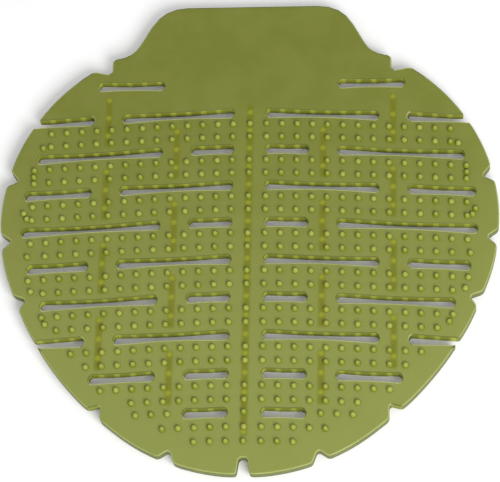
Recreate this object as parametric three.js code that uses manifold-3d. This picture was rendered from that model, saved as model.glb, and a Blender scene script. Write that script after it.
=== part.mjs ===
import * as THREE from 'three';
import { ConvexGeometry } from 'three/addons/geometries/ConvexGeometry.js';
import { mergeGeometries, mergeVertices } from 'three/addons/utils/BufferGeometryUtils.js';
import Module from 'manifold-3d';

// A urinal deodorizer screen: one flexible moulding of clear olive vinyl, lying flat on its ribs.
// Millimetres. +Z is up, +Y points to the grip tab, and the origin is under the middle of the outline.

// Overall size of the sheet
const overallWidth = 181;
const overallLength = 183.6;
const sheetThickness = 4;

// Rim of the round body: side, flank and bottom arcs that run smoothly into each other
const sideRadius = 73;
const flankRadius = 120;
const bottomRadius = 73;
const arcStepDegrees = 6;

// Grip tab: a straight top edge, slanting sides and a soft concave root on the body
const tabTopWidth = 66.8;
const tabWaistWidth = 89;
const tabWaistDepth = 20.2;
const tabRootSpread = 5.8;
const tabRootDrop = 0.9;
const tabCornerRound = 9;
const tabWaistRound = 5;
const roundSteps = 4;

// Notches around the rim, mirrored left and right, wider at the shoulders beside the tab,
// and a deeper one in the middle of the bottom
const notchAngles = [13.9, -2, -18, -52.4, -72.5];
const notchMouth = 6.6;
const notchFloor = 1.8;
const notchDepth = 3.4;
const shoulderNotchBelowRoot = 3.6;
const shoulderNotchMouth = 8.6;
const shoulderNotchFloor = 2.4;
const shoulderNotchDepth = 4.2;
const bottomNotchMouth = 4.8;
const bottomNotchFloor = 3.2;
const bottomNotchDepth = 6.4;
const notchCornerShare = 0.25;
const cutPastRim = 2;

// Drain slots: rows that fall away towards both sides like a soft roof, numbered from 0 at the shoulders
const lastRow = 9;
const firstRowBelowTab = 24.1;
const lastRowFromBottom = 22.9;
const shoulderRowShare = 0.866;
const rowSlope = 0.06;
const rowCrown = 1.4;
const slotWidth = 3.5;
const slotWaistShare = 0.026;
const slotEndCut = 0.9;
const slotFromCentre = 5.8;
const shortSlot = 16;
const longSlot = 41.6;
const slotGap = 10.2;
const slotRimMargin = 7.4;
const openRows = [1, 7];

// Splash pins on the upper face, in pairs of rows between the slot rows
const pinPitch = 5.6;
const firstPin = 6.2;
const pinPairShare = 0.361;
const pinHeight = 1.4;
const pinBaseDiameter = 2.5;
const pinTipDiameter = 1.7;
const pinSides = 5;
const pinsEachSide = [13, 13, 14, 14, 14, 14, 14, 14, 14, 14, 13, 12, 11, 10, 9, 7];
const pinRimMargin = 2.8;

// Single pins beside the row ends: the pair of rows they belong to, their height above its
// middle as a share of half the spacing, and their place as a share of the distance from the rim
const edgePinFromRim = 8.6;
const edgePins = [
  { pair: 1, height: -1.15, inset: 0.9 },
  { pair: 2, height: 0, inset: 1.06 },
  { pair: 3, height: 0.1, inset: 0.97 },
  { pair: 3, height: -0.75, inset: 1.12 },
  { pair: 4, height: -0.9, inset: 0.92 },
  { pair: 5, height: -0.6, inset: 0.75 },
  { pair: 6, height: 0, inset: 0.72 },
];

// Short rows of pins that finish the pattern under the last slots
const tailFromLastRow = 8.1;
const tailPinsEachSide = [5, 3];
const besideSlotPins = 3;
const besideSlotGap = 5.2;

// Ribs on the underside, one in each gap between slots, and one down the middle
const ribLength = 17.6;
const ribWidth = 1.7;
const ribDepth = 2;
const embed = 0.6;

// Length of the steps that look for the rim
const searchStep = 0.05;

const halfWidth = overallWidth / 2;
const topY = overallLength / 2;
const bottomY = -topY;
const sheetTop = ribDepth + sheetThickness;
const waistY = topY - tabWaistDepth;
const tabRoot = new THREE.Vector2(tabWaistWidth / 2 + tabRootSpread, waistY - tabRootDrop);
const firstRowY = waistY - firstRowBelowTab;
const lastRowY = bottomY + lastRowFromBottom;
const rowPitch = (firstRowY - lastRowY) / (lastRow - 1);
const pinPairSpacing = pinPairShare * rowPitch;
const degrees = Math.PI / 180;

const wasm = await Module();
wasm.setup();

// A closed geometry as a solid that can be joined and cut.
function solid(geometry) {
  geometry.deleteAttribute('normal');
  geometry.deleteAttribute('uv');
  const merged = mergeVertices(geometry, 1e-4);
  return new wasm.Manifold(new wasm.Mesh({
    numProp: 3,
    vertProperties: merged.attributes.position.array,
    triVerts: new Uint32Array(merged.index.array),
  }));
}

function geometryOf(manifold) {
  const mesh = manifold.getMesh();
  const geometry = new THREE.BufferGeometry();
  geometry.setAttribute('position', new THREE.BufferAttribute(mesh.vertProperties, 3));
  geometry.setIndex(new THREE.BufferAttribute(mesh.triVerts, 1));
  const faceted = geometry.toNonIndexed();
  faceted.computeVertexNormals();
  return faceted;
}

// A flat outline raised from one height to another.
function plate(points, fromZ, toZ) {
  const geometry = new THREE.ExtrudeGeometry(new THREE.Shape(points), {
    depth: toZ - fromZ,
    bevelEnabled: false,
  });
  return geometry.translate(0, 0, fromZ);
}

function arcPoints(centre, radius, fromAngle, toAngle) {
  const steps = Math.ceil(Math.abs(toAngle - fromAngle) / (arcStepDegrees * degrees));
  const clockwise = toAngle < fromAngle;
  const curve = new THREE.EllipseCurve(centre.x, centre.y, radius, radius, fromAngle, toAngle, clockwise);
  return curve.getPoints(steps);
}

// A corner rounded off by a curve that starts and ends the same way along both of its sides.
function roundedCorner(before, corner, after, reach) {
  const start = corner.clone().add(before.clone().sub(corner).setLength(reach));
  const end = corner.clone().add(after.clone().sub(corner).setLength(reach));
  return new THREE.QuadraticBezierCurve(start, corner, end).getPoints(roundSteps);
}

// Centre of the flank arc, which touches the side arc and the bottom arc from outside of both.
function flankCentre(side, bottom) {
  const toSide = flankRadius - sideRadius;
  const toBottom = flankRadius - bottomRadius;
  const between = bottom.clone().sub(side);
  const span = between.length();
  const along = (toSide ** 2 - toBottom ** 2 + span ** 2) / (2 * span);
  const across = Math.sqrt(toSide ** 2 - along ** 2);
  const direction = between.normalize();
  const normal = new THREE.Vector2(direction.y, -direction.x);
  return side.clone().addScaledVector(direction, along).addScaledVector(normal, across);
}

function angleFrom(centre, point) {
  return Math.atan2(point.y - centre.y, point.x - centre.x);
}

// Right half of the rim, from the middle of the tab's top edge to the middle of the bottom.
function rightHalf() {
  const sideX = halfWidth - sideRadius;
  const sideY = tabRoot.y - Math.sqrt(sideRadius ** 2 - (tabRoot.x - sideX) ** 2);
  const side = new THREE.Vector2(sideX, sideY);
  const bottom = new THREE.Vector2(0, bottomY + bottomRadius);
  const flank = flankCentre(side, bottom);
  const topMiddle = new THREE.Vector2(0, topY);
  const corner = new THREE.Vector2(tabTopWidth / 2, topY);
  const waist = new THREE.Vector2(tabWaistWidth / 2, waistY);
  const flankStart = angleFrom(flank, side);
  const flankEnd = angleFrom(flank, bottom);
  return [
    topMiddle,
    ...roundedCorner(topMiddle, corner, waist, tabCornerRound),
    ...roundedCorner(corner, waist, tabRoot, tabWaistRound),
    ...arcPoints(side, sideRadius, angleFrom(side, tabRoot), flankStart),
    ...arcPoints(flank, flankRadius, flankStart, flankEnd).slice(1),
    ...arcPoints(bottom, bottomRadius, flankEnd, -Math.PI / 2).slice(1),
  ];
}

const rightRim = rightHalf();
const leftRim = rightRim.slice(1, -1).reverse().map((p) => new THREE.Vector2(-p.x, p.y));
const rim = [...rightRim, ...leftRim];

// Distance from a point to the nearest place on a closed outline.
function distanceTo(outline, point) {
  const distances = outline.map((a, i) => {
    const b = outline[(i + 1) % outline.length];
    const edge = b.clone().sub(a);
    const along = point.clone().sub(a).dot(edge) / edge.lengthSq();
    return a.clone().addScaledVector(edge, THREE.MathUtils.clamp(along, 0, 1)).distanceTo(point);
  });
  return Math.min(...distances);
}

function isInside(outline, point) {
  let inside = false;
  outline.forEach((a, i) => {
    const b = outline[(i + 1) % outline.length];
    const crosses = (a.y > point.y) !== (b.y > point.y);
    if (crosses && point.x < a.x + ((point.y - a.y) * (b.x - a.x)) / (b.y - a.y)) inside = !inside;
  });
  return inside;
}

// How far the rim lies from the middle of the outline in one direction.
function rimReach(angle) {
  let reach = 0;
  const direction = new THREE.Vector2(Math.cos(angle), Math.sin(angle));
  while (isInside(rim, direction.clone().multiplyScalar(reach))) reach += searchStep;
  return reach;
}

// Outline of a notch that opens outwards past the rim, with a rounded floor.
function notch(angle, mouth, floor, depth) {
  const rimAt = rimReach(angle);
  const flare = (mouth - floor) / 2;
  const corner = notchCornerShare * floor;
  const outward = new THREE.Vector2(Math.cos(angle), Math.sin(angle));
  const across = new THREE.Vector2(-outward.y, outward.x);
  const place = (out, side) => outward.clone()
    .multiplyScalar(rimAt + out)
    .addScaledVector(across, side);
  const outerHalf = mouth / 2 + (flare * cutPastRim) / depth;
  return [
    place(cutPastRim, -outerHalf),
    place(corner - depth, -floor / 2),
    place(-depth, corner - floor / 2),
    place(-depth, floor / 2 - corner),
    place(corner - depth, floor / 2),
    place(cutPastRim, outerHalf),
  ];
}

function bothSides(angle, mouth, floor, depth) {
  return [angle, 180 - angle].map((a) => notch(a * degrees, mouth, floor, depth));
}

const shoulderNotchAngle = tabRoot.angle() / degrees - shoulderNotchBelowRoot;
const notches = [
  ...bothSides(shoulderNotchAngle, shoulderNotchMouth, shoulderNotchFloor, shoulderNotchDepth),
  ...notchAngles.flatMap((angle) => bothSides(angle, notchMouth, notchFloor, notchDepth)),
  notch(-Math.PI / 2, bottomNotchMouth, bottomNotchFloor, bottomNotchDepth),
];

function rowY(row) {
  if (row === 0) return firstRowY + shoulderRowShare * rowPitch;
  return lastRowY + (lastRow - row) * rowPitch;
}

// A place on a row, which has fallen further the further it is from the middle.
function onRow(x, y) {
  return new THREE.Vector2(x, y + rowCrown - Math.hypot(rowSlope * x, rowCrown));
}

// Where a row comes within a margin of the rim, going outwards from a start.
function rowEnd(start, y, margin) {
  let x = start;
  while (isInside(rim, onRow(x, y)) && distanceTo(rim, onRow(x, y)) > margin) x += searchStep;
  return x;
}

// Start and end of each slot in the right half of a row.
function slotSpans(row) {
  const y = rowY(row);
  const firstLength = row % 2 ? longSlot : shortSlot;
  const first = [slotFromCentre, slotFromCentre + firstLength];
  const outerStart = first[1] + slotGap;
  const outerEnd = openRows.includes(row) ? halfWidth : rowEnd(outerStart, y, slotRimMargin);
  const outer = [outerStart, outerEnd];
  if (row === 0) return [outer];
  if (row === lastRow) return [[slotFromCentre, slotFromCentre + shortSlot]];
  return [first, outer];
}

// Outline of a slot that follows its row, with chamfered ends and a slightly pinched middle.
// The shoulder slots are level.
function slotOutline([from, to], row, side) {
  const half = slotWidth / 2;
  const waist = half - (slotWaistShare * (to - from)) / 2;
  const middle = (from + to) / 2;
  const stations = [
    [from, 0],
    [from + slotEndCut, half],
    [middle, waist],
    [to - slotEndCut, half],
    [to, 0],
  ];
  const place = (x, w) => {
    const { y } = row === 0 ? onRow(from, rowY(row)) : onRow(x, rowY(row));
    return new THREE.Vector2(side * x, y + w);
  };
  const upper = stations.map(([x, w]) => place(x, w));
  const lower = stations.slice(1, -1).reverse().map(([x, w]) => place(x, -w));
  return [...upper, ...lower];
}

function slots() {
  const cutters = [];
  for (let row = 0; row <= lastRow; row += 1) {
    for (const span of slotSpans(row)) {
      for (const side of [-1, 1]) {
        cutters.push(plate(slotOutline(span, row, side), 0, sheetTop + pinHeight));
      }
    }
  }
  return mergeGeometries(cutters);
}

function hasRoom(point, margin) {
  if (!isInside(rim, point) || distanceTo(rim, point) < margin) return false;
  return notches.every((outline) => !isInside(outline, point) && distanceTo(outline, point) >= margin);
}

// Pins of one row: one in the middle, then one at every pitch as far as there is room.
function pinRow(y, mostEachSide) {
  const places = [onRow(0, y)];
  for (let i = 0; i < mostEachSide; i += 1) {
    const place = onRow(firstPin + i * pinPitch, y);
    if (!hasRoom(place, pinRimMargin)) break;
    places.push(place, new THREE.Vector2(-place.x, place.y));
  }
  return places;
}

function edgePlaces() {
  return edgePins.flatMap(({ pair, height, inset }) => {
    const y = (rowY(pair) + rowY(pair + 1) + height * pinPairSpacing) / 2;
    const place = onRow(rowEnd(0, y, inset * edgePinFromRim), y);
    return [place, new THREE.Vector2(-place.x, place.y)];
  });
}

function besideSlots(y) {
  const places = [onRow(0, y)];
  for (let i = 0; i < besideSlotPins; i += 1) {
    const place = onRow(slotFromCentre + shortSlot + besideSlotGap + i * pinPitch, y);
    places.push(place, new THREE.Vector2(-place.x, place.y));
  }
  return places;
}

function rowPlaces() {
  const places = [];
  for (let row = 1; row < lastRow; row += 1) {
    const middle = (rowY(row) + rowY(row + 1)) / 2;
    const [upper, lower] = pinsEachSide.slice(2 * row - 2);
    places.push(...pinRow(middle + pinPairSpacing / 2, upper));
    places.push(...pinRow(middle - pinPairSpacing / 2, lower));
  }
  const tail = rowY(lastRow) - tailFromLastRow;
  places.push(...besideSlots(rowY(lastRow)));
  places.push(...pinRow(tail + pinPairSpacing / 2, tailPinsEachSide[0]));
  places.push(...pinRow(tail - pinPairSpacing / 2, tailPinsEachSide[1]));
  return places;
}

function ring(diameter, z) {
  return Array.from({ length: pinSides }, (_, i) => {
    const angle = (i * 2 * Math.PI) / pinSides + Math.PI / 2;
    return new THREE.Vector3(Math.cos(angle), Math.sin(angle), 0).setLength(diameter / 2).setZ(z);
  });
}

// Blunt tapered pins, set a little into the sheet.
function pins(places) {
  const pin = new ConvexGeometry([
    ...ring(pinBaseDiameter, sheetTop - embed),
    ...ring(pinTipDiameter, sheetTop + pinHeight),
  ]);
  return mergeGeometries(places.map(({ x, y }) => pin.clone().translate(x, y, 0)));
}

// Ribs stand in the gaps between neighbouring slots, centred on their row.
function ribs() {
  const height = ribDepth + embed;
  const gapRib = new THREE.BoxGeometry(ribWidth, ribLength, height).translate(0, 0, height / 2);
  const made = [];
  for (let row = 1; row < lastRow; row += 1) {
    const [, firstEnd] = slotSpans(row)[0];
    const { x, y } = onRow(firstEnd + slotGap / 2, rowY(row));
    made.push(gapRib.clone().translate(x, y, 0), gapRib.clone().translate(-x, y, 0));
  }
  const middleLength = rowY(1) - rowY(lastRow) + ribLength;
  const middle = new THREE.BoxGeometry(ribWidth, middleLength, height);
  made.push(middle.translate(0, (rowY(1) + rowY(lastRow)) / 2, height / 2));
  return mergeGeometries(made);
}

function screen() {
  const sheet = solid(plate(rim, ribDepth, sheetTop));
  const notchCutters = notches.map((outline) => plate(outline, 0, sheetTop + pinHeight));
  return sheet
    .add(solid(ribs()))
    .add(solid(pins(rowPlaces())))
    .add(solid(pins(edgePlaces())))
    .subtract(solid(slots()))
    .subtract(solid(mergeGeometries(notchCutters)));
}

const clearOliveVinyl = new THREE.MeshStandardMaterial({
  color: 0x8c9846,
  roughness: 0.45,
  metalness: 0,
});

const mat = new THREE.Mesh(geometryOf(screen()), clearOliveVinyl);
mat.name = 'screen_mat';

const group = new THREE.Group();
group.add(mat);

export default group;
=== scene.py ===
import math

import bmesh
import bpy
from mathutils import Matrix, Vector
from mathutils.kdtree import KDTree


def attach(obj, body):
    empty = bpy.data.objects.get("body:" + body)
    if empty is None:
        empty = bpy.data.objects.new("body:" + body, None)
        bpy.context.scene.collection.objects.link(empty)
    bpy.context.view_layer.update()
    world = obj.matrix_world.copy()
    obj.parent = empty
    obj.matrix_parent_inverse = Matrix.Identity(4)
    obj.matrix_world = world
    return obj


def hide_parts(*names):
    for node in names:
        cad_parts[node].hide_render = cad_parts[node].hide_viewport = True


mm = 0.001

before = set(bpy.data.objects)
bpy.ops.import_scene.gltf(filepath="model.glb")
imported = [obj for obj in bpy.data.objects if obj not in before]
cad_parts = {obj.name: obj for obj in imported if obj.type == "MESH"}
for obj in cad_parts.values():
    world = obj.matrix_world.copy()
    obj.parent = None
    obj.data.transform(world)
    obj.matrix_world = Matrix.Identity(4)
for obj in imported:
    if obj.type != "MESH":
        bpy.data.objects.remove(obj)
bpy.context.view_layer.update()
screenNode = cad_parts["screen_mat"]
print("frame loaded")


# Outlines, taken from the solid

outlineRules = {
    "mergeWithin": 0.001 * mm,
    "cutWithin": 1e-7,
    "straightBelow": math.radians(0.3),
    "sharpAbove": math.radians(25),
    "cornerSteps": 4,
    "cornerShare": 0.45,  # the most of an edge that a rounded corner takes
    "cornerRoom": 1.2,  # arcs get no point nearer to a corner than this many times its reach
}


def sliceLoops(node, height):  # closed outlines where the solid crosses one height
    cut = bmesh.new()
    cut.from_mesh(node.data)
    bmesh.ops.remove_doubles(cut, verts=cut.verts, dist=outlineRules["mergeWithin"])
    parts = cut.verts[:] + cut.edges[:] + cut.faces[:]
    bmesh.ops.bisect_plane(
        cut, geom=parts, dist=outlineRules["cutWithin"], plane_co=(0, 0, height), plane_no=(0, 0, 1),
        clear_inner=True, clear_outer=True,
    )
    loops = []
    waiting = set(cut.verts)
    while waiting:
        vert = waiting.pop()
        loop = [vert.co.xy.copy()]
        while True:
            neighbours = [edge.other_vert(vert) for edge in vert.link_edges]
            following = [other for other in neighbours if other in waiting]
            if not following:
                break
            vert = following[0]
            waiting.discard(vert)
            loop.append(vert.co.xy.copy())
        loops.append(loop)
    cut.free()
    return [withoutStraights(loop) for loop in loops if len(loop) > 2]


def turnAt(loop, i):
    before = loop[i] - loop[i - 1]
    after = loop[(i + 1) % len(loop)] - loop[i]
    return abs(before.angle(after, 0))


def withoutStraights(loop):
    return [p for i, p in enumerate(loop) if turnAt(loop, i) > outlineRules["straightBelow"]]


def middleOf(loop):
    xs = [p.x for p in loop]
    ys = [p.y for p in loop]
    return Vector(((min(xs) + max(xs)) / 2, (min(ys) + max(ys)) / 2))


def roundCorner(loop, i, reach):
    before, corner, after = loop[i - 1], loop[i], loop[(i + 1) % len(loop)]
    shorter = min((before - corner).length, (after - corner).length)
    reach = min(reach, outlineRules["cornerShare"] * shorter)
    start = corner + (before - corner).normalized() * reach
    end = corner + (after - corner).normalized() * reach
    steps = outlineRules["cornerSteps"]
    points = []
    for k in range(steps + 1):
        t = k / steps
        points.append(start * (1 - t) ** 2 + corner * 2 * t * (1 - t) + end * t ** 2)
    return points


def softOutline(loop, reach, step, longestArc):  # corners rounded, arcs filled in between their points
    sharp = [turnAt(loop, i) > outlineRules["sharpAbove"] for i in range(len(loop))]
    room = outlineRules["cornerRoom"] * reach
    tangents = []
    for i in range(len(loop)):
        before = (loop[i] - loop[i - 1]).normalized()
        after = (loop[(i + 1) % len(loop)] - loop[i]).normalized()
        tangents.append((before + after).normalized())
    soft = []
    for i in range(len(loop)):
        j = (i + 1) % len(loop)
        soft += roundCorner(loop, i, reach) if sharp[i] else [loop[i]]
        if sharp[i] and sharp[j]:
            continue
        length = (loop[j] - loop[i]).length
        chord = (loop[j] - loop[i]).normalized()
        straight = length > longestArc
        startDir = chord if sharp[i] or straight else tangents[i]
        endDir = chord if sharp[j] or straight else tangents[j]
        count = int(length / step)
        for k in range(1, count):
            t = k / count
            if (sharp[i] and t * length < room) or (sharp[j] and (1 - t) * length < room):
                continue
            soft.append(
                loop[i] * (2 * t ** 3 - 3 * t ** 2 + 1)
                + startDir * length * (t ** 3 - 2 * t ** 2 + t)
                + loop[j] * (3 * t ** 2 - 2 * t ** 3)
                + endDir * length * (t ** 3 - t ** 2)
            )
    return soft


# The sheet, with its soft edges

sheetSizes = {
    "bottom": 2 * mm,
    "top": 6 * mm,
    "edgeRound": 0.45 * mm,
    "edgeSteps": 2,
    "rimCorner": 1.3 * mm,
    "slotCorner": 0.85 * mm,
    "rimStep": 2.4 * mm,
    "slotStep": 4.5 * mm,
    "longestArc": 15 * mm,
}


def meshFrom(maker):  # a plain mesh of an object that is shaped by curve settings or modifiers
    evaluated = maker.evaluated_get(bpy.context.evaluated_depsgraph_get())
    return bpy.data.meshes.new_from_object(evaluated)


def makeSheet(sizes):
    middle = (sizes["bottom"] + sizes["top"]) / 2
    loops = sorted(sliceLoops(screenNode, middle), key=len, reverse=True)
    longest = sizes["longestArc"]
    outlines = [softOutline(loops[0], sizes["rimCorner"], sizes["rimStep"], longest)]
    corner, step = sizes["slotCorner"], sizes["slotStep"]
    outlines += [softOutline(loop, corner, step, 2 * longest) for loop in loops[1:]]
    curve = bpy.data.curves.new("sheetOutline", "CURVE")
    curve.dimensions = "2D"
    curve.fill_mode = "BOTH"
    curve.extrude = (sizes["top"] - sizes["bottom"]) / 2 - sizes["edgeRound"]
    curve.bevel_depth = sizes["edgeRound"]
    curve.bevel_resolution = sizes["edgeSteps"]
    curve.offset = -sizes["edgeRound"]
    for outline in outlines:
        spline = curve.splines.new("POLY")
        spline.points.add(len(outline) - 1)
        for point, place in zip(spline.points, outline):
            point.co = (place.x, place.y, 0, 1)
        spline.use_cyclic_u = True
    maker = bpy.data.objects.new("sheetMaker", curve)
    bpy.context.scene.collection.objects.link(maker)
    bpy.context.view_layer.update()
    mesh = meshFrom(maker)
    bpy.data.objects.remove(maker)
    mesh.transform(Matrix.Translation((0, 0, middle)))
    return mesh


doublesWithin = 0.0005 * mm


def closedMesh(mesh, name):  # doubles merged, faces outwards
    work = bmesh.new()
    work.from_mesh(mesh)
    bmesh.ops.remove_doubles(work, verts=work.verts, dist=doublesWithin)
    bmesh.ops.dissolve_degenerate(work, edges=work.edges, dist=doublesWithin)
    bmesh.ops.recalc_face_normals(work, faces=work.faces)
    openEdges = sum(not e.is_manifold for e in work.edges)
    work.to_mesh(mesh)
    work.free()
    print(name, len(mesh.polygons), "faces,", openEdges, "open edges")
    return mesh


def placed(name, mesh):
    piece = bpy.data.objects.new(name, mesh)
    bpy.context.scene.collection.objects.link(piece)
    return piece


moulding = placed("moulding", closedMesh(makeSheet(sheetSizes), "sheet"))


# Clear vinyl: the same plastic all over, with light and shade painted into its colour: paler towards the near
# side, lit and shaded copies on walls, rim and edges, darker feet, highlights, glints and the ribs'
# see-through light

vinylLook = {
    "roughness": 0.45,
    "shine": 0.25,
    "bend": 1.4,
    "cloudScale": 90,
    "pinCloudScale": 170,
    "cloudEdges": (0.34, 0.66),
    "cloudDetail": 3,
    # Painted light: the sheet gets paler towards the near side, between these two places along y
    "paintedLightFrom": 78 * mm,
    "paintedLightTo": -62 * mm,
    "paintedLightTint": (0.37, 0.41, 0.105, 1),
    "paintedLightShare": 0.75,
    "absorption": (0.9, 0.91, 0.1, 1),
    "density": 380,
}

# Painted light and shade: the walls tint is a lighter copy of the vinyl, the rim tint a darker one, the edge
# tints are lit and shaded copies by the side they face, and the brightest edge tint is a painted highlight
# along the slots.
tints = {  # one mottled colour for each part of the moulding
    "sheet": [(0.25, 0.28, 0.041, 1), (0.275, 0.305, 0.053, 1)],
    "walls": [(0.27, 0.30, 0.03, 1), (0.32, 0.35, 0.045, 1)],
    "rim": [(0.17, 0.20, 0.045, 1), (0.20, 0.23, 0.06, 1)],
    "shadedEdge": [(0.13, 0.155, 0.03, 1), (0.16, 0.185, 0.04, 1)],
    "litEdge": [(0.33, 0.37, 0.10, 1), (0.40, 0.44, 0.15, 1)],
    "litSlotEdge": [(0.55, 0.60, 0.21, 1), (0.63, 0.68, 0.28, 1)],
    "pins": [(0.29, 0.34, 0.02, 1), (0.48, 0.53, 0.09, 1)],
    "ribs": [(0.28, 0.31, 0.02, 1), (0.34, 0.37, 0.03, 1)],
}
seeThrough = {
    "sheet": 0.3, "walls": 0.2, "rim": 0.2, "shadedEdge": 0.1, "litEdge": 0.1, "litSlotEdge": 0.1, "pins": 0.3,
    "ribs": 0.3,
}
paintedFootShade = {  # painted shade, darker towards the foot: height where it is full, height where it ends, tint
    "rim": (2.3 * mm, 3.9 * mm, (0.085, 0.105, 0.035, 1)),
    "pins": (6.1 * mm, 6.9 * mm, (0.22, 0.255, 0.016, 1)),
}
# Painted highlight at the pin tips: height where it is full, height where it ends, tint
pinTipHighlight = {"full": 7.39 * mm, "none": 7.15 * mm, "tint": (0.60, 0.66, 0.17, 1)}

paintedRibGlow = {  # painted see-through light: how the ribs and pegs underneath show through the sheet, as yellower bars and brighter spots, with the banks in mm
    "banks": [
        {"x": 26.9, "first": 31.2, "last": -56.1, "pitch": 29.1, "halfLength": 10.1, "peg": 32.9},
        {"x": 52.5, "first": 44.4, "last": -42.9, "pitch": 29.1, "halfLength": 10.1, "peg": 46.1},
        {"x": 0, "first": -13.4, "last": -13.4, "pitch": 200, "halfLength": 64.3, "peg": 47.7},
    ],
    "endBlur": mm,
    "halfWidth": 1.5 * mm,
    "barEdges": (0.3, 1.3),  # shares of the half width between which the bar fades out
    "pegPitch": 7.275 * mm,
    "pegRadius": 1.5 * mm,
    "pegFull": 0.2,  # share of the radius up to which a peg shows in full
    "barTint": (0.235, 0.25, 0.008, 1),
    "pegTint": (0.42, 0.46, 0.03, 1),
    "barShare": 0.8,
    "pegShare": 0.85,
}

paintedGlintDashes = {  # painted glints: bright dashes on the slot walls
    "firstPin": 6.2 * mm,
    "pinPitch": 5.6 * mm,
    "halfLength": 1.4 * mm,
    "fullShare": 0.3,
    "tint": (0.50, 0.54, 0.07, 1),
}


class Sums:  # writes sums as Math nodes
    def __init__(self, tree):
        self.tree = tree

    def put(self, socket, value):
        if isinstance(value, (int, float)):
            socket.default_value = value
        else:
            self.tree.links.new(value, socket)

    def math(self, operation, a, b=0.0):
        node = self.tree.nodes.new("ShaderNodeMath")
        node.operation = operation
        self.put(node.inputs[0], a)
        self.put(node.inputs[1], b)
        return node.outputs[0]

    def fade(self, value, full, none):  # 1 up to full, then softly down to 0 at none
        node = self.tree.nodes.new("ShaderNodeMapRange")
        node.interpolation_type = "SMOOTHSTEP"
        for socket, amount in zip(node.inputs, (value, full, none, 1.0, 0.0)):
            self.put(socket, amount)
        return node.outputs[0]

    def mix(self, share, a, b):
        node = self.tree.nodes.new("ShaderNodeMix")
        node.data_type = "RGBA"
        self.put(node.inputs["Factor"], share)
        for name, colour in (("A", a), ("B", b)):
            if isinstance(colour, tuple):
                node.inputs[name].default_value = colour
            else:
                self.tree.links.new(colour, node.inputs[name])
        return node.outputs["Result"]


def paintedRibGlowMasks(sums, x, y, look):  # (bars, pegs) of the painted see-through light, each from 0 to 1
    side = sums.math("ABSOLUTE", x)
    blur = look["endBlur"]
    barFull, barGone = (share * look["halfWidth"] for share in look["barEdges"])
    bars = pegs = 0.0
    for bank in look["banks"]:
        first, last, half = (bank[name] * mm for name in ("first", "last", "halfLength"))
        across = sums.math("ABSOLUTE", sums.math("SUBTRACT", side, bank["x"] * mm))
        along = sums.math("PINGPONG", sums.math("SUBTRACT", y, first), bank["pitch"] * mm / 2)
        fromMiddle = sums.math("ABSOLUTE", sums.math("SUBTRACT", y, (first + last) / 2))
        bankEnd = (first - last) / 2 + half
        onRib = sums.fade(along, half - blur, half + blur)
        inBank = sums.math("MULTIPLY", onRib, sums.fade(fromMiddle, bankEnd, bankEnd + blur))
        bar = sums.fade(across, barFull, barGone)
        fromPeg = sums.math("PINGPONG", sums.math("SUBTRACT", y, bank["peg"] * mm), look["pegPitch"] / 2)
        square = sums.math("ADD", sums.math("POWER", across, 2), sums.math("POWER", fromPeg, 2))
        reach = sums.math("POWER", square, 0.5)
        peg = sums.fade(reach, look["pegFull"] * look["pegRadius"], look["pegRadius"])
        bars = sums.math("MAXIMUM", bars, sums.math("MULTIPLY", bar, inBank))
        pegs = sums.math("MAXIMUM", pegs, sums.math("MULTIPLY", peg, inBank))
    return bars, pegs


def paintedGlintDashMask(sums, x, look):  # painted glints, in line with the pins
    fromFirst = sums.math("SUBTRACT", sums.math("ABSOLUTE", x), look["firstPin"])
    along = sums.math("PINGPONG", fromFirst, look["pinPitch"] / 2)
    return sums.fade(along, look["fullShare"] * look["halfLength"], look["halfLength"])


def sheetColour(sums, colour, axes):  # painted light, paler towards the near side, and painted see-through light where the ribs show through
    paintedNearLight = sums.fade(axes.outputs["Y"], vinylLook["paintedLightTo"], vinylLook["paintedLightFrom"])
    bars, pegs = paintedRibGlowMasks(sums, axes.outputs["X"], axes.outputs["Y"], paintedRibGlow)
    colour = sums.mix(sums.math("MULTIPLY", paintedNearLight, vinylLook["paintedLightShare"]), colour, vinylLook["paintedLightTint"])
    colour = sums.mix(sums.math("MULTIPLY", bars, paintedRibGlow["barShare"]), colour, paintedRibGlow["barTint"])
    return sums.mix(sums.math("MULTIPLY", pegs, paintedRibGlow["pegShare"]), colour, paintedRibGlow["pegTint"])


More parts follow.
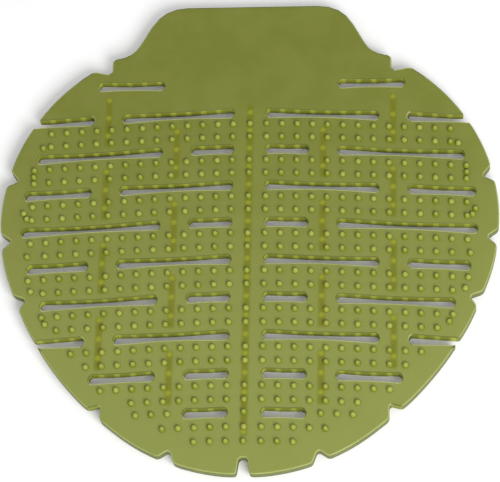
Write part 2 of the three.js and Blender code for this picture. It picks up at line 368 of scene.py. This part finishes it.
def vinylMaterial(part):
    material = bpy.data.materials.new(part + "Vinyl")
    material.use_nodes = True
    nodes, links = material.node_tree.nodes, material.node_tree.links
    sums = Sums(material.node_tree)
    shader = nodes["Principled BSDF"]
    shader.inputs["Roughness"].default_value = vinylLook["roughness"]
    shader.inputs["Transmission Weight"].default_value = seeThrough[part]
    shader.inputs["IOR"].default_value = vinylLook["bend"]
    shader.inputs["Specular IOR Level"].default_value = vinylLook["shine"]
    place = nodes.new("ShaderNodeTexCoord")
    axes = nodes.new("ShaderNodeSeparateXYZ")
    links.new(place.outputs["Object"], axes.inputs[0])
    cloud = nodes.new("ShaderNodeTexNoise")
    cloud.inputs["Scale"].default_value = vinylLook["pinCloudScale" if part == "pins" else "cloudScale"]
    cloud.inputs["Detail"].default_value = vinylLook["cloudDetail"]
    links.new(place.outputs["Object"], cloud.inputs["Vector"])
    low, high = vinylLook["cloudEdges"]
    colour = sums.mix(sums.fade(cloud.outputs["Fac"], low, high), *tints[part])
    # Painted light paler towards the near side, and painted see-through light over the ribs and pegs
    if part == "sheet":
        colour = sheetColour(sums, colour, axes)
    # Painted shade, darker towards the foot of the rim and the pins
    if part in paintedFootShade:
        full, none, tint = paintedFootShade[part]
        colour = sums.mix(sums.fade(axes.outputs["Z"], full, none), colour, tint)
    # Painted highlight at the pin tips, stronger where the mottling is higher
    if part == "pins":
        nearTip = sums.fade(axes.outputs["Z"], pinTipHighlight["full"], pinTipHighlight["none"])
        colour = sums.mix(sums.math("MULTIPLY", nearTip, cloud.outputs["Fac"]), colour, pinTipHighlight["tint"])
    # Painted glints: bright dashes on the slot walls in line with the pins
    if part == "walls":
        colour = sums.mix(paintedGlintDashMask(sums, axes.outputs["X"], paintedGlintDashes), colour, paintedGlintDashes["tint"])
    links.new(colour, shader.inputs["Base Color"])
    depth = nodes.new("ShaderNodeVolumeAbsorption")
    depth.inputs["Color"].default_value = vinylLook["absorption"]
    depth.inputs["Density"].default_value = vinylLook["density"]
    links.new(depth.outputs["Volume"], nodes["Material Output"].inputs["Volume"])
    return material


vinyls = {part: vinylMaterial(part) for part in tints}
print(len(vinyls), "vinyl tints")


# Splash pins on the upper face

pinSizes = {
    "cutAt": 6.5 * mm,
    "foot": 5.7 * mm,
    "top": 7.4 * mm,
    "radius": 1.12 * mm,
    "sides": 10,
    "rings": 6,
    "taper": [(0, 1.2), (0.2, 1.12), (0.5, 0.99), (0.8, 0.76), (1, 0.4)],
}


pinTurn = {"most": 6.28, "seed": 3}


def socketId(tree, name):
    inputs = [item for item in tree.interface.items_tree if item.in_out == "INPUT"]
    return next(item.identifier for item in inputs if item.name == name)


def pinTree(sizes):
    tree = bpy.data.node_groups.new("splashPins", "GeometryNodeTree")
    tree.interface.new_socket("Geometry", in_out="INPUT", socket_type="NodeSocketGeometry")
    for name in ("Foot", "Top", "Radius"):
        tree.interface.new_socket(name, in_out="INPUT", socket_type="NodeSocketFloat")
    tree.interface.new_socket("Material", in_out="INPUT", socket_type="NodeSocketMaterial")
    tree.interface.new_socket("Geometry", in_out="OUTPUT", socket_type="NodeSocketGeometry")
    nodes, links = tree.nodes, tree.links
    given = nodes.new("NodeGroupInput")
    result = nodes.new("NodeGroupOutput")
    foot = nodes.new("ShaderNodeCombineXYZ")
    tip = nodes.new("ShaderNodeCombineXYZ")
    links.new(given.outputs["Foot"], foot.inputs["Z"])
    links.new(given.outputs["Top"], tip.inputs["Z"])
    axis = nodes.new("GeometryNodeCurvePrimitiveLine")
    links.new(foot.outputs[0], axis.inputs["Start"])
    links.new(tip.outputs[0], axis.inputs["End"])
    rings = nodes.new("GeometryNodeResampleCurve")
    rings.inputs["Count"].default_value = sizes["rings"]
    links.new(axis.outputs[0], rings.inputs["Curve"])
    along = nodes.new("GeometryNodeSplineParameter")
    taper = nodes.new("ShaderNodeFloatCurve")
    line = taper.mapping.curves[0]
    taper.mapping.use_clip = False
    taper.mapping.extend = "HORIZONTAL"
    ends = sizes["taper"]
    line.points[0].location = ends[0]
    line.points[1].location = ends[-1]
    for place in ends[1:-1]:
        line.points.new(*place)
    taper.mapping.update()
    links.new(along.outputs["Factor"], taper.inputs["Value"])
    outline = nodes.new("GeometryNodeCurvePrimitiveCircle")
    outline.inputs["Resolution"].default_value = sizes["sides"]
    links.new(given.outputs["Radius"], outline.inputs["Radius"])
    skin = nodes.new("GeometryNodeCurveToMesh")
    skin.inputs["Fill Caps"].default_value = True
    links.new(rings.outputs[0], skin.inputs["Curve"])
    links.new(taper.outputs[0], skin.inputs["Scale"])
    links.new(outline.outputs[0], skin.inputs["Profile Curve"])
    spread = nodes.new("GeometryNodeInstanceOnPoints")
    links.new(given.outputs["Geometry"], spread.inputs["Points"])
    links.new(skin.outputs[0], spread.inputs["Instance"])
    turn = nodes.new("FunctionNodeRandomValue")
    turn.data_type = "FLOAT_VECTOR"
    turn.inputs["Min"].default_value = (0, 0, 0)
    turn.inputs["Max"].default_value = (0, 0, pinTurn["most"])
    turn.inputs["Seed"].default_value = pinTurn["seed"]
    links.new(turn.outputs["Value"], spread.inputs["Rotation"])
    real = nodes.new("GeometryNodeRealizeInstances")
    links.new(spread.outputs[0], real.inputs[0])
    finish = nodes.new("GeometryNodeSetMaterial")
    links.new(real.outputs[0], finish.inputs["Geometry"])
    links.new(given.outputs["Material"], finish.inputs["Material"])
    links.new(finish.outputs[0], result.inputs[0])
    return tree


def grown(points, tree, values):  # the tree's result on a set of points, as a plain mesh
    mesh = bpy.data.meshes.new(tree.name)
    mesh.from_pydata(points, [], [])
    maker = placed(tree.name, mesh)
    modifier = maker.modifiers.new(tree.name, "NODES")
    modifier.node_group = tree
    for name, value in values.items():
        modifier[socketId(tree, name)] = value
    result = meshFrom(maker)
    bpy.data.objects.remove(maker)
    return result


pinPlaces = [middleOf(loop).to_3d() for loop in sliceLoops(screenNode, pinSizes["cutAt"])]
print(len(pinPlaces), "pins")
pinValues = {
    "Foot": pinSizes["foot"], "Top": pinSizes["top"], "Radius": pinSizes["radius"], "Material": vinyls["pins"],
}
pins = placed("pins", closedMesh(grown(pinPlaces, pinTree(pinSizes), pinValues), "pins"))


# Ribs and their pegs underneath

ribSizes = {
    "cutAt": 1 * mm,
    "top": 2.6 * mm,
    "edgeRound": 0.3 * mm,
    "edgeSteps": 2,
    "pegRadius": 1.35 * mm,
    "pegPitch": 7.275 * mm,
    "pegTaper": [(0, 0.8), (0.1, 1.0), (0.5, 1.0), (0.9, 1.0), (1, 1.0)],
    "rings": 4,
    "sides": 12,
}


def roundedBar(low, high, reach, steps):
    bar = bmesh.new()
    bmesh.ops.create_cube(bar, size=1)
    bmesh.ops.scale(bar, verts=bar.verts, vec=high - low)
    bmesh.ops.translate(bar, verts=bar.verts, vec=(low + high) / 2)
    lower = [e for e in bar.edges if min(v.co.z for v in e.verts) < low.z + reach]
    bmesh.ops.bevel(bar, geom=lower, offset=reach, segments=steps, affect="EDGES", profile=0.5)
    return bar


def makeRibs(sizes):
    joined = bmesh.new()
    pegs = []
    for loop in sliceLoops(screenNode, sizes["cutAt"]):
        middle = middleOf(loop)
        halfX = max(p.x for p in loop) - middle.x
        halfY = max(p.y for p in loop) - middle.y
        low = Vector((middle.x - halfX, middle.y - halfY, 0))
        high = Vector((middle.x + halfX, middle.y + halfY, sizes["top"]))
        bar = roundedBar(low, high, sizes["edgeRound"], sizes["edgeSteps"])
        mesh = bpy.data.meshes.new("bar")
        bar.to_mesh(mesh)
        bar.free()
        joined.from_mesh(mesh)
        bpy.data.meshes.remove(mesh)
        count = round((halfY - sizes["pegRadius"]) / sizes["pegPitch"])
        for k in range(-count, count + 1):
            pegs.append(Vector((middle.x, middle.y + k * sizes["pegPitch"], 0)))
    mesh = bpy.data.meshes.new("ribs")
    joined.to_mesh(mesh)
    joined.free()
    return mesh, pegs


ribMesh, pegPlaces = makeRibs(ribSizes)
ribs = placed("ribs", closedMesh(ribMesh, "ribs"))
pegTree = pinTree({**ribSizes, "taper": ribSizes["pegTaper"]})
pegTree.name = "ribPegs"
pegValues = {"Foot": 0.0, "Top": ribSizes["top"], "Radius": ribSizes["pegRadius"], "Material": vinyls["ribs"]}
pegs = placed("pegs", closedMesh(grown(pegPlaces, pegTree, pegValues), "pegs"))
print(len(pegPlaces), "pegs")


# All of it joined into one moulding

def weld(base, part):
    modifier = base.modifiers.new("weld", "BOOLEAN")
    modifier.operation = "UNION"
    modifier.solver = "MANIFOLD"
    modifier.object = part
    welded = meshFrom(base)
    base.modifiers.clear()
    base.data = welded
    bpy.data.objects.remove(part)
    print("welded:", len(welded.polygons), "faces")


faceRules = {
    "slack": 0.01 * mm,
    "flatFrom": 0.9995,
    "levelFrom": 0.98,
    "uprightBelow": 0.3,
    "alongSlotFrom": 0.95,
    "facesNearBelow": 0.2,
    "nearSlot": 3 * mm,
    "slotPointStep": mm,
    "openSlotZone": (-75 * mm, 66 * mm),
    "sharpAbove": math.radians(50),
}


def pointsAlong(loops, step):  # a tree of points along closed outlines
    points = []
    for loop in loops:
        for a, b in zip(loop, loop[1:] + loop[:1]):
            count = max(1, int((b - a).length / step))
            points += [a.lerp(b, k / count).to_3d() for k in range(count)]
    tree = KDTree(len(points))
    for i, point in enumerate(points):
        tree.insert(point, i)
    tree.balance()
    return tree


slotLoops = sorted(sliceLoops(screenNode, sheetSizes["bottom"] + mm), key=len)[:-1]
slotPoints = pointsAlong(slotLoops, faceRules["slotPointStep"])


def isInSlot(place, normal):
    low, high = faceRules["openSlotZone"]
    alongSlot = abs(normal.y) > faceRules["alongSlotFrom"] * normal.xy.length
    if alongSlot and low < place.y < high:
        return True
    return slotPoints.find((place.x, place.y, 0))[2] < faceRules["nearSlot"]


def partOf(place, normal):  # the part of the moulding that a face belongs to
    if place.z > sheetSizes["top"] + faceRules["slack"]:
        return "pins"
    if place.z < sheetSizes["bottom"] - faceRules["slack"]:
        return "ribs"
    if abs(normal.z) > faceRules["levelFrom"]:
        return "sheet"
    inSlot = isInSlot(place, normal)
    # Upright faces: slot walls get the lighter painted-light tint, the outer rim the darker painted-shade
    # tint.
    if abs(normal.z) < faceRules["uprightBelow"]:
        return "walls" if inSlot else "rim"
    # Painted light and shade on the rounded edges: at the rim, edges facing the near side get the lit tint and
    # those facing away the shaded tint; along the slots, edges facing away get the painted highlight and those
    # facing near the shaded tint.
    facesNear = normal.y < faceRules["facesNearBelow"]
    if inSlot:
        return "shadedEdge" if facesNear else "litSlotEdge"
    return "litEdge" if facesNear else "shadedEdge"


for part in (ribs, pegs, pins):
    weld(moulding, part)

skin = moulding.data
skin.materials.clear()
for vinyl in vinyls.values():
    skin.materials.append(vinyl)
slotOf = {part: i for i, part in enumerate(vinyls)}
skin.shade_smooth()
skin.set_sharp_from_angle(angle=faceRules["sharpAbove"])
for face in skin.polygons:
    face.material_index = slotOf[partOf(face.center, face.normal)]
    face.use_smooth = abs(face.normal.z) < faceRules["flatFrom"]
skin.name = "moulding"

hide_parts("screen_mat")
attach(moulding, "root")
print("moulding ready")


# Floor, light and camera

studio = {
    "floorSize": 3.0,
    "floorDrop": 0.06 * mm,
    "floorColour": (0.9, 0.9, 0.9, 1),
    "floorLift": 0.13,
    "worldStrength": 0.58,
    "lampPower": 8.7,
    "lampSize": 0.5,
    "lampPlace": (0.42, -0.66, 0.68),
}


def floorMaterial(look):
    material = bpy.data.materials.new("paleFloor")
    material.use_nodes = True
    nodes, links = material.node_tree.nodes, material.node_tree.links
    nodes.remove(nodes["Principled BSDF"])
    matt = nodes.new("ShaderNodeBsdfDiffuse")
    matt.inputs["Color"].default_value = look["floorColour"]
    lift = nodes.new("ShaderNodeEmission")
    seen = nodes.new("ShaderNodeLightPath")
    strength = nodes.new("ShaderNodeMath")
    strength.operation = "MULTIPLY"
    strength.inputs[1].default_value = look["floorLift"]
    both = nodes.new("ShaderNodeAddShader")
    links.new(seen.outputs["Is Camera Ray"], strength.inputs[0])
    links.new(strength.outputs[0], lift.inputs["Strength"])
    links.new(matt.outputs[0], both.inputs[0])
    links.new(lift.outputs[0], both.inputs[1])
    links.new(both.outputs[0], nodes["Material Output"].inputs["Surface"])
    return material


def makeFloor(look):
    half = look["floorSize"] / 2
    mesh = bpy.data.meshes.new("floor")
    corners = [(-half, -half), (half, -half), (half, half), (-half, half)]
    mesh.from_pydata([(x, y, -look["floorDrop"]) for x, y in corners], [], [(0, 1, 2, 3)])
    mesh.materials.append(floorMaterial(look))
    return placed("floor", mesh)


makeFloor(studio)

world = bpy.data.worlds.new("studio")
bpy.context.scene.world = world
world.use_nodes = True
world.node_tree.nodes["Background"].inputs["Color"].default_value = (1, 1, 1, 1)
world.node_tree.nodes["Background"].inputs["Strength"].default_value = studio["worldStrength"]

lampData = bpy.data.lights.new("softbox", "AREA")
lampData.energy = studio["lampPower"]
lampData.size = studio["lampSize"]
lamp = bpy.data.objects.new("softbox", lampData)
lamp.location = studio["lampPlace"]
lamp.rotation_euler = (-Vector(studio["lampPlace"])).to_track_quat("-Z", "Y").to_euler()
bpy.context.scene.collection.objects.link(lamp)

shot = {
    "target": Vector((0.88, -3.85, 6.0)) * mm,
    "distance": 876 * mm,
    "tilt": 23.39,
    "yaw": 10.94,
    "roll": -10.67,
    "lens": 175,
    "sensorWidth": 36,
}


def placeCamera(shot):
    tilt, yaw, roll = (math.radians(shot[name]) for name in ("tilt", "yaw", "roll"))
    back = Vector((math.sin(tilt) * math.sin(yaw), -math.sin(tilt) * math.cos(yaw), math.cos(tilt)))
    right = (-back).cross(Vector((0, 0, 1))).normalized()
    up = right.cross(-back)
    turnedRight = right * math.cos(roll) + up * math.sin(roll)
    turnedUp = up * math.cos(roll) - right * math.sin(roll)
    data = bpy.data.cameras.new("camera")
    data.lens = shot["lens"]
    data.sensor_width = shot["sensorWidth"]
    camera = bpy.data.objects.new("camera", data)
    turn = Matrix((turnedRight, turnedUp, back)).transposed().to_4x4()
    camera.matrix_world = Matrix.Translation(shot["target"] + back * shot["distance"]) @ turn
    bpy.context.scene.collection.objects.link(camera)
    bpy.context.scene.camera = camera


placeCamera(shot)
bpy.context.scene.view_settings.view_transform = "Standard"
print("studio ready")
